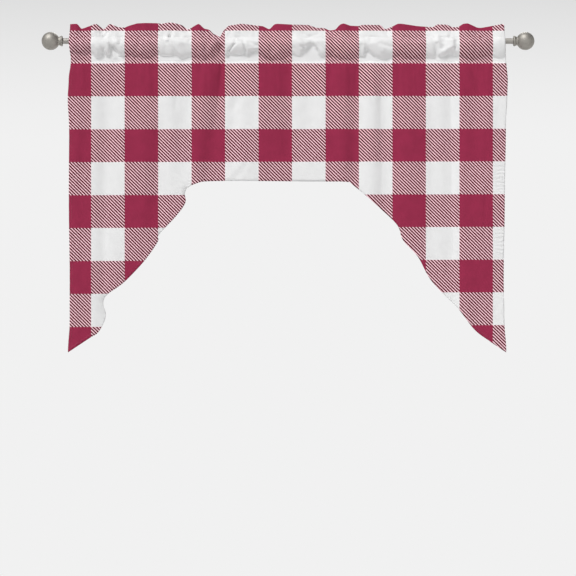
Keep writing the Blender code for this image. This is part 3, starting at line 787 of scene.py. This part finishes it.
def stitch_row(route):
    """Both hung ends of each stitch along a flat route, and its flat place."""
    starts = even_route(route, STITCH_LENGTH + STITCH_GAP)
    ends = starts + unit(np.gradient(starts, axis=0)) * STITCH_LENGTH
    fits = (starts[:, 0] > side_x(starts[:, 1], 1)) & (starts[:, 0] < side_x(starts[:, 1], 2))
    starts, ends = starts[fits], ends[fits]
    lifted = CLOTH_THICKNESS / 2.0 + THREAD_RADIUS * 0.2
    return hung_places(starts, lifted), hung_places(ends, lifted), starts


def level_route(v):
    """A seam right across the cloth, from just inside one side edge to the other."""
    return np.array([(float(side_x(v, 1)) + 0.003, v), (float(side_x(v, 2)) - 0.003, v)])


def one_stitch():
    """Corners and faces of one stitch of unit length, lying along Z."""
    shape = bmesh.new()
    bmesh.ops.create_cone(
        shape,
        cap_ends=True,
        segments=STITCH_SIDES,
        radius1=THREAD_RADIUS,
        radius2=THREAD_RADIUS,
        depth=1.0,
    )
    corners = np.array([vert.co[:] for vert in shape.verts])
    faces = [[vert.index for vert in face.verts] for face in shape.faces]
    shape.free()
    return corners, faces


def sewn_rows(routes):
    """All stitches along these routes as one mesh, with the print mapped."""
    corners, faces = one_stitch()
    begins, ends, flats = (np.concatenate(part) for part in zip(*map(stitch_row, routes)))
    line = ends - begins
    ahead = unit(line)
    beside = unit(np.cross(ahead, (0.0, 1.0, 0.0)))
    upward = np.cross(ahead, beside)
    axes = np.stack([beside, upward, line], axis=1)
    points = np.einsum("ca,sad->scd", corners, axes) + ((begins + ends) / 2.0)[:, None]
    count = len(corners)
    every = [[index + count * n for index in face] for n in range(len(begins)) for face in faces]
    mesh = bpy.data.meshes.new("stitches")
    mesh.from_pydata(points.reshape(-1, 3).tolist(), [], every)
    add_print_map(mesh, np.repeat(flats, count, axis=0))
    return put_in_scene("stitches", mesh)


sewn = [level_route(LOWER_SEAM), level_route(UPPER_SEAM + UPPER_THREAD_LIFT)]
for _, route, turn in hem_edges:
    sewn.append(route + inward_normals(route, turn) * HEM_THREAD_INSET)
stitches = sewn_rows(sewn)
print("stitches:", len(stitches.data.polygons) // (STITCH_SIDES + 2))

# %% [markdown]
# ## Rod and finials
# The rod is a thin steel tube, and each finial is a turned ball on a narrow neck with a
# ring collar that butts against the tube's end. Anything turned on a lathe is a profile
# spun about its axis. The spin is a full circle, so its last ring is merged with its first.

# %% Turned metal
TURNED_STEPS = 72
ROD_LIP = 0.00025
FINIAL_GAP = 0.0003
COLLAR_BEAD = 0.0026
NECK_BEAD = 0.0012


def spun(name, outline, closed=False):
    """Spins an outline of (x, radius) about the X axis."""
    shape = bmesh.new()
    corners = [shape.verts.new((x, 0.0, radius)) for x, radius in outline]
    pairs = list(zip(corners, corners[1:]))
    if closed:
        pairs.append((corners[-1], corners[0]))
    for start, end in pairs:
        shape.edges.new((start, end))
    bmesh.ops.spin(
        shape,
        geom=shape.verts[:] + shape.edges[:],
        axis=(1.0, 0.0, 0.0),
        cent=(0.0, 0.0, 0.0),
        angle=2.0 * math.pi,
        steps=TURNED_STEPS,
        use_merge=True,
    )
    bmesh.ops.remove_doubles(shape, verts=shape.verts, dist=0.000001)
    bmesh.ops.recalc_face_normals(shape, faces=shape.faces)
    made = to_object(name, shape)
    made.data.shade_smooth()
    made.data.set_sharp_from_angle(angle=math.radians(40.0))
    return made


def rounded(centre_x, centre_radius, size, start, end, steps):
    """Points of an arc of this size, from one angle in degrees to another."""
    angles = np.radians(np.linspace(start, end, steps))
    return [(centre_x + size * math.cos(a), centre_radius + size * math.sin(a)) for a in angles]


def rod_outline():
    """The tube's wall, with its outer corners taken off."""
    outer = [(-ROD_END + ROD_LIP, ROD_RADIUS), (ROD_END - ROD_LIP, ROD_RADIUS)]
    right = [(ROD_END, ROD_RADIUS - ROD_LIP), (ROD_END, ROD_RADIUS - ROD_WALL)]
    left = [(-ROD_END, ROD_RADIUS - ROD_WALL), (-ROD_END, ROD_RADIUS - ROD_LIP)]
    return outer + right + left


rod = spun("rod_tube", rod_outline(), closed=True)
print("rod length:", round(2.0 * ROD_END, 3), "m")


# %% Finials
def finial_outline(side):
    """(x, radius) from the ball's far end back to the end of the plug."""
    neck_angle = math.degrees(math.asin(NECK_RADIUS / BALL_RADIUS))
    outline = rounded(BALL_CENTRE, 0.0, BALL_RADIUS, 0.0, 180.0 - neck_angle, 40)
    start = ROD_END + FINIAL_GAP
    end = start + COLLAR_LENGTH
    outline += [((end + NECK_AT) / 2.0, NECK_WAIST_RADIUS), (end, NECK_RADIUS)]
    outline += rounded(end - NECK_BEAD, NECK_RADIUS - NECK_BEAD / 3.0, NECK_BEAD, 60.0, 90.0, 4)
    ring = (start + COLLAR_BEAD, COLLAR_RADIUS - COLLAR_BEAD)
    outline += rounded(*ring, COLLAR_BEAD, 40.0, 180.0, 12)
    outline += [(start, PLUG_RADIUS), (start - PLUG_LENGTH, PLUG_RADIUS)]
    outline += [(start - PLUG_LENGTH, 0.0)]
    return [(side * x, max(radius, 0.0)) for x, radius in outline]


finials = {
    "finial_left": spun("finial_left_turned", finial_outline(-1.0)),
    "finial_right": spun("finial_right_turned", finial_outline(1.0)),
}
print("overall length:", round(2.0 * (BALL_CENTRE + BALL_RADIUS), 3), "m")

# %% [markdown]
# ## Shader helpers
# A material is a small network of nodes. Written node by node it is long and hard to read,
# so one class wraps an output socket and gives it the usual operators. An expression on
# these values then builds its Math nodes itself. One more method makes any other node.


# %% Node helpers
class Value:
    """An output socket that can be used in sums."""

    def __init__(self, finish, socket):
        self.finish = finish
        self.socket = socket

    def maths(self, operation, *others):
        return self.finish.node("ShaderNodeMath", {"operation": operation}, [self, *others])

    def __add__(self, other):
        return self.maths("ADD", other)

    def __mul__(self, other):
        return self.maths("MULTIPLY", other)

    def __sub__(self, other):
        return self.maths("SUBTRACT", other)

    def __rsub__(self, other):
        return self.finish.node("ShaderNodeMath", {"operation": "SUBTRACT"}, [other, self])

    __radd__ = __add__
    __rmul__ = __mul__

    def step(self, low, high):
        """0 below low, 1 above high and eased between them."""
        return self.finish.node(
            "ShaderNodeMapRange",
            {"interpolation_type": "SMOOTHSTEP"},
            {"Value": self, "From Min": low, "From Max": high},
            "Result",
        )


class Finish:
    """A material that is put together from expressions."""

    def __init__(self, name, **constants):
        self.material = bpy.data.materials.new(name)
        self.material.use_nodes = True
        self.tree = self.material.node_tree
        self.shader = self.tree.nodes["Principled BSDF"]
        for socket, value in constants.items():
            self.shader.inputs[socket.replace("_", " ")].default_value = value

    def node(self, kind, settings, sockets, output=0):
        """Any node: its settings first, then its sockets by place or by name."""
        made = self.tree.nodes.new(kind)
        for name, value in settings.items():
            setattr(made, name, value)
        named = sockets.items() if isinstance(sockets, dict) else enumerate(sockets)
        for place, value in named:
            self.feed(made.inputs[place], value)
        return Value(self, made.outputs[output])

    def feed(self, socket, value):
        if isinstance(value, Value):
            self.tree.links.new(value.socket, socket)
        else:
            socket.default_value = value

    def surface(self, name, value):
        self.feed(self.shader.inputs[name], value)

    def mix(self, share, low, high):
        """A colour between two others."""
        return self.node("ShaderNodeMix", {"data_type": "RGBA"}, {0: share, 6: low, 7: high}, 2)

    def stretched(self, place, scale):
        """A place that is scaled along each axis, which stretches a texture there."""
        return self.node("ShaderNodeMapping", {}, {"Vector": place, "Scale": scale})

    def noise(self, place, scale, detail=3.0):
        return self.node(
            "ShaderNodeTexNoise", {}, {"Vector": place, "Scale": scale, "Detail": detail}
        )

    def bump(self, height, distance, strength, below=None):
        """A normal with this relief, on top of that of an earlier bump."""
        sockets = {"Strength": strength, "Distance": distance, "Height": height}
        if below is not None:
            sockets["Normal"] = below
        return self.node("ShaderNodeBump", {}, sockets)

    def across_and_up(self, place):
        """The two parts of a place on the print."""
        parts = self.node("ShaderNodeSeparateXYZ", {}, [place]).socket.node
        return Value(self, parts.outputs[0]), Value(self, parts.outputs[1])


def darker(colour, share):
    """A colour at this share of its brightness."""
    return tuple(share * part for part in colour[:3]) + (1.0,)


print("node helpers ready")

# %% [markdown]
# ## The print
# A buffalo check is two sets of broad bands that cross: where two coloured bands meet the
# square is solid, where two white ones meet it is white, and the mixed squares are hatched
# with slanting stripes. The stripes' ink is deeper than the squares', on a faintly pink
# ground. All of it is arithmetic on the UV map. Dividing by the width of a square numbers
# the bands, and odd or even tells which are coloured. The rows lie slightly closer together
# towards the right, as on cloth that was pulled a little unevenly when it was pressed.
# The weave, soft wrinkles and the short puckers beside the side hems are bumps, because
# they are too fine for the mesh.

# %% Cloth materials
SQUARE_WIDTH = 0.0929
SQUARE_HEIGHT = 0.0911
FIRST_COLUMN_AT = -0.5460
FIRST_ROW_AT = -0.0627
ROW_SPREAD = 0.0056
STRIPES_PER_SQUARE = 10.0
STRIPE_SHARE = 0.61
WHITE = (0.80, 0.80, 0.80, 1.0)
CRIMSON = (0.305, 0.020, 0.065, 1.0)
STRIPE_CRIMSON = (0.095, 0.002, 0.010, 1.0)
STRIPE_GROUND = (1.0, 0.655, 0.72, 1.0)
WEAVE_PITCH = 0.00055
BAND_EDGE = 0.008
STRIPE_EDGE = 0.02
# Puckers beside the side hems: their pitch, how far from the middle they begin and are
# whole, and the pitch and phase of the patches where the thread is tight
SIDE_PUCKER_PITCH = 0.011
PUCKERS_BEGIN = 0.566
PUCKERS_WHOLE = 0.590
TIGHT_PATCH_PITCH = 0.18
TIGHT_PATCH_PHASE = 2.27


def odd(count, edge):
    """1 where the counted band's number is odd, with a soft change at its edges."""
    wrapped = count.maths("FLOORED_MODULO", 2.0)
    return wrapped.step(1.0 - edge, 1.0 + edge) * (1.0 - wrapped.step(2.0 - edge, 2.0))


def printed_colour(finish, place):
    """The check's colour at a place in metres."""
    across, up = finish.across_and_up(place)
    column = (across - FIRST_COLUMN_AT) * (1.0 / SQUARE_WIDTH)
    row = (up * (across * ROW_SPREAD + 1.0) - FIRST_ROW_AT) * (-1.0 / SQUARE_HEIGHT)
    red_column = odd(column, BAND_EDGE)
    red_row = odd(row + 1.0, BAND_EDGE)
    both = red_column * red_row
    mixed = red_column + red_row - both * 2.0
    slant = ((column - row) * STRIPES_PER_SQUARE).maths("PINGPONG", 0.5)
    edge = 0.5 - 0.5 * STRIPE_SHARE
    stripe = slant.step(edge - STRIPE_EDGE, edge + STRIPE_EDGE)
    ink = both + mixed * stripe
    cloudy = finish.noise(place, 38.0, 4.0).step(0.25, 0.75)
    white = finish.mix(cloudy, WHITE, darker(WHITE, 0.965))
    crimson = finish.mix(cloudy, CRIMSON, darker(CRIMSON, 0.90))
    white = finish.mix(mixed, white, STRIPE_GROUND)
    crimson = finish.mix(mixed, crimson, STRIPE_CRIMSON)
    return finish.mix(ink, white, crimson)


def woven_height(finish, place):
    """Threads that pass over and under each other."""
    across, up = finish.across_and_up(place)
    turn = 2.0 * math.pi / WEAVE_PITCH
    weft = (across * turn).maths("SINE")
    warp = (up * turn).maths("SINE")
    return weft * warp * 0.5 + 0.5


def side_puckers(finish, place):
    """Short level puckers beside the side hems, in two patches where the thread is tight."""
    across, up = finish.across_and_up(place)
    beside = across.maths("ABSOLUTE").step(PUCKERS_BEGIN, PUCKERS_WHOLE)
    patches = (up * (2.0 * math.pi / TIGHT_PATCH_PITCH) + TIGHT_PATCH_PHASE).maths("SINE")
    tight = patches.step(0.0, 0.8) * up.step(-0.68, -0.62) * (1.0 - up.step(-0.30, -0.26))
    wander = finish.noise(place, 60.0, 1.0) * 7.0
    wave = (up * (2.0 * math.pi / SIDE_PUCKER_PITCH) + wander).maths("SINE")
    return wave * beside * tight * 0.5 + 0.5


def cloth_finish(name, fade):
    """Printed cloth. Fade is how much of the print is lost, as on its reverse."""
    finish = Finish(name, Roughness=0.86, Specular_IOR_Level=0.25, Sheen_Weight=0.04)
    place = finish.node("ShaderNodeUVMap", {"uv_map": "print"}, [])
    colour = printed_colour(finish, place)
    finish.surface("Base Color", finish.mix(fade, colour, WHITE) if fade else colour)
    crumple = finish.stretched(place, (1.0, 0.45, 1.0))
    weave = finish.bump(woven_height(finish, place), 0.00003, 0.6)
    wrinkles = finish.bump(finish.noise(crumple, 34.0, 3.0), 0.0016, 0.5, weave)
    puckers = finish.bump(side_puckers(finish, place), 0.002, 0.45, wrinkles)
    finish.surface("Normal", puckers)
    finish.surface("Roughness", finish.noise(place, 120.0) * 0.12 + 0.80)
    return finish.material


printed_face = cloth_finish("printed_face", 0.0)
reverse_face = cloth_finish("reverse_face", 0.42)
for piece in [cloth, *hems]:
    piece.data.materials.append(printed_face)
    piece.data.materials.append(reverse_face)
print("cloth nodes:", len(printed_face.node_tree.nodes))


# %% Thread material
def thread_finish():
    """Thread that takes on the colour of the cloth round it, a little paler."""
    finish = Finish("sewing_thread", Roughness=0.6)
    place = finish.node("ShaderNodeUVMap", {"uv_map": "print"}, [])
    finish.surface("Base Color", finish.mix(0.12, printed_colour(finish, place), WHITE))
    return finish.material


stitches.data.materials.append(thread_finish())
print("thread ready")

# %% [markdown]
# ## Brushed nickel
# Turned nickel is brushed round its axis, so its highlights are soft and it has very fine
# rings. Rings round the X axis are a pattern in x alone. A second, slower pattern varies
# the roughness, as handling does.


# %% Metal material
def nickel_finish(name, colour):
    """Nickel brushed round the X axis."""
    finish = Finish(name, Metallic=1.0, Roughness=0.3)
    place = finish.node("ShaderNodeTexCoord", {}, [], "Object")
    rings = finish.noise(finish.stretched(place, (1.0, 0.02, 0.02)), 2600.0, 2.0)
    handled = finish.noise(place, 55.0, 3.0)
    finish.surface("Base Color", finish.mix(rings, darker(colour, 0.86), darker(colour, 1.0)))
    finish.surface("Roughness", handled * 0.12 + 0.56)
    finish.surface("Normal", finish.bump(rings, 0.00004, 0.5))
    return finish.material


rod.data.materials.append(nickel_finish("nickel_rod", (0.47, 0.45, 0.42)))
nickel_ball = nickel_finish("nickel_finial", (0.44, 0.42, 0.385))
for finial in finials.values():
    finial.data.materials.append(nickel_ball)
print("metal ready")

# %% [markdown]
# ## Joining the pieces to the frame
# The cloth stands for its solid, and its hems and stitches go with it. Nothing here moves,
# so every piece rides on the one body.

for piece, slot in [(cloth, "cloth"), *((hem, "cloth") for hem in hems), (stitches, "cloth")]:
    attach(piece, "root")
for piece, slot in [(rod, "rod"), *((finial, "finial") for finial in finials.values())]:
    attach(piece, "root")
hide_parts("valance")
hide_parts("rod")
for node, finial in finials.items():
    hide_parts(node)
print("pieces:", [piece.name for piece in (cloth, *hems, stitches, rod, *finials.values())])

# %% [markdown]
# ## Camera, floor and light
# The valance is seen face on from the room. A long lens far away keeps the check square,
# as a catalogue picture does. The floor is plain and far below, where a real one would be.
# A soft, even light from high on the left gives the folds their shading, and the pale
# surroundings fill the rest.

# %% Camera
FRAME_WIDTH = 1.600
VIEW_CENTRE_Z = -0.686
VIEW_DISTANCE = 6.0
camera_data = bpy.data.cameras.new("camera")
camera_data.sensor_width = 36.0
camera_data.lens = camera_data.sensor_width * VIEW_DISTANCE / FRAME_WIDTH
camera = put_in_scene("camera", camera_data)
camera.location = (0.0, -VIEW_DISTANCE, VIEW_CENTRE_Z)
camera.rotation_euler = (math.radians(90.0), 0.0, 0.0)
bpy.context.scene.camera = camera
print("lens:", round(camera_data.lens, 1), "mm")


# %% Floor, surroundings and lights
# From and to which rise the walls turn into the softer ceiling, and how bright each is
SURROUNDINGS = (0.06, 0.30, 0.88, 0.20)
FLOOR_REACH = 30.0
FLOOR_BACK_EDGE = 4.4
FLOOR_Z = -2.1


def make_floor():
    """A plain floor that reaches far in front and ends a few metres behind."""
    plane = bmesh.new()
    bmesh.ops.create_grid(plane, x_segments=1, y_segments=1, size=FLOOR_REACH)
    for vert in plane.verts:
        vert.co = (vert.co.x, min(vert.co.y, FLOOR_BACK_EDGE), FLOOR_Z)
    made = to_object("floor", plane)
    finish = Finish("pale_floor", Roughness=0.7, Base_Color=(0.74, 0.74, 0.74, 1.0))
    made.data.materials.append(finish.material)
    return made


def add_light(name, kind, place, aim, power):
    """A light at this place that shines towards the aim."""
    light = bpy.data.lights.new(name, kind)
    light.energy = power
    made = put_in_scene(name, light)
    made.location = place
    made.rotation_euler = (Vector(aim) - Vector(place)).to_track_quat("-Z", "Y").to_euler()
    return light


def area_light(name, place, aim, size, power):
    """A soft panel of this width and height."""
    light = add_light(name, "AREA", place, aim, power)
    light.shape = "RECTANGLE"
    light.size, light.size_y = size


def make_surroundings():
    """Bright all round at eye level and softer above, as in a studio with pale walls."""
    world = bpy.data.worlds.new("pale_surroundings")
    world.use_nodes = True
    nodes, links = world.node_tree.nodes, world.node_tree.links
    toward = nodes.new("ShaderNodeTexCoord")
    parts = nodes.new("ShaderNodeSeparateXYZ")
    bright = nodes.new("ShaderNodeMapRange")
    bright.interpolation_type = "SMOOTHSTEP"
    for name, value in zip(("From Min", "From Max", "To Min", "To Max"), SURROUNDINGS):
        bright.inputs[name].default_value = value
    links.new(toward.outputs["Generated"], parts.inputs[0])
    links.new(parts.outputs["Z"], bright.inputs["Value"])
    links.new(bright.outputs[0], nodes["Background"].inputs["Strength"])
    nodes["Background"].inputs["Color"].default_value = (1.0, 1.0, 1.0, 1.0)
    bpy.context.scene.world = world


def sun_light(name, place, aim, softness, power):
    """An even light from far away, in the direction from this place to the aim."""
    light = add_light(name, "SUN", place, aim, power)
    light.angle = math.radians(softness)


floor = make_floor()
make_surroundings()
bpy.context.scene.view_settings.view_transform = "Standard"
sun_light("key", (-3.1, -4.0, 6.4), (0.0, 0.0, -0.3), 9.0, 2.55)
area_light("fill", (3.4, -6.4, 0.4), (0.0, 0.0, -0.4), (2.6, 2.2), 40.0)
area_light("behind", (0.6, 4.6, 3.4), (0.0, 0.0, -0.3), (2.4, 2.0), 120.0)
print("lights:", [light.name for light in bpy.data.lights])
